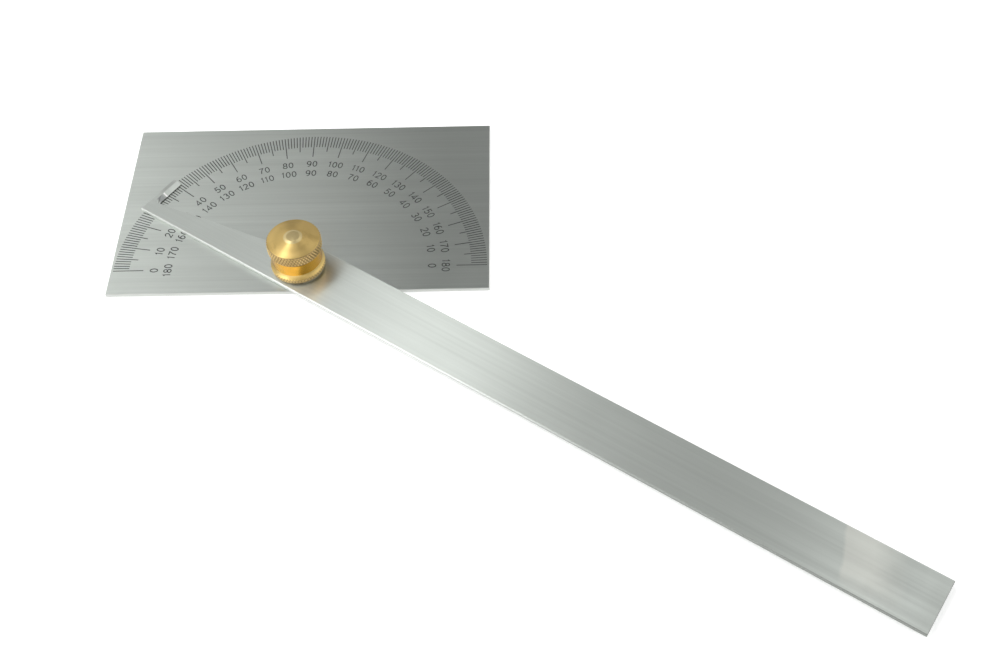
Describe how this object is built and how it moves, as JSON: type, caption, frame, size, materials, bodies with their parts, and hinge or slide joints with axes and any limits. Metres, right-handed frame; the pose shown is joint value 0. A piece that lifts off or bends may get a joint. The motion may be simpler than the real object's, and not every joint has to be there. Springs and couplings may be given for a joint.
{
  "type": "bevel protractor",
  "caption": "Flat steel protractor head with a half-circle degree scale, a swinging blade with a hooked reading tail, and a knurled brass lock nut.",
  "frame": {"origin": "on the pivot's axis, in the plane of the head's back face", "axes": "+Z out of the scale side along the pivot, +X along the head's long edges, +Y from the pivot to the far long edge"},
  "size_m": [0.1724, 0.1363, 0.0117],
  "materials": {
    "head_steel": "satin, brushed along the long edges, with a black etched scale",
    "arm_steel": "satin, brushed along the blade",
    "stud_steel": "turned, ground flush at the back",
    "washer_steel": "stamped, plain",
    "nut_brass": "turned and polished, with a knurled cap and flange"
  },
  "bodies": {
    "head": {"head_plate": "head_steel", "pivot_stud": "stud_steel"},
    "arm": {"arm": "arm_steel"},
    "washer": {"washer": "washer_steel"},
    "nut": {"lock_nut": "nut_brass"}
  },
  "joints": [
    {"name": "arm_swing", "type": "hinge", "parent": "head", "child": "arm", "pos_m": [0, 0, 0.001], "axis": [0, 0, 1], "continuous": true},
    {"name": "nut_turn", "type": "hinge", "parent": "head", "child": "washer", "pos_m": [0, 0, 0.002], "axis": [0, 0, 1], "range_deg": [0, 1440]},
    {"name": "nut_rise", "type": "slide", "parent": "washer", "child": "nut", "axis": [0, 0, 1], "range_m": [0, 0.0028]}
  ],
  "couplings": [
    {"joint": "nut_rise", "follows": "nut_turn", "m_per_rad": 0.00011141}
  ]
}
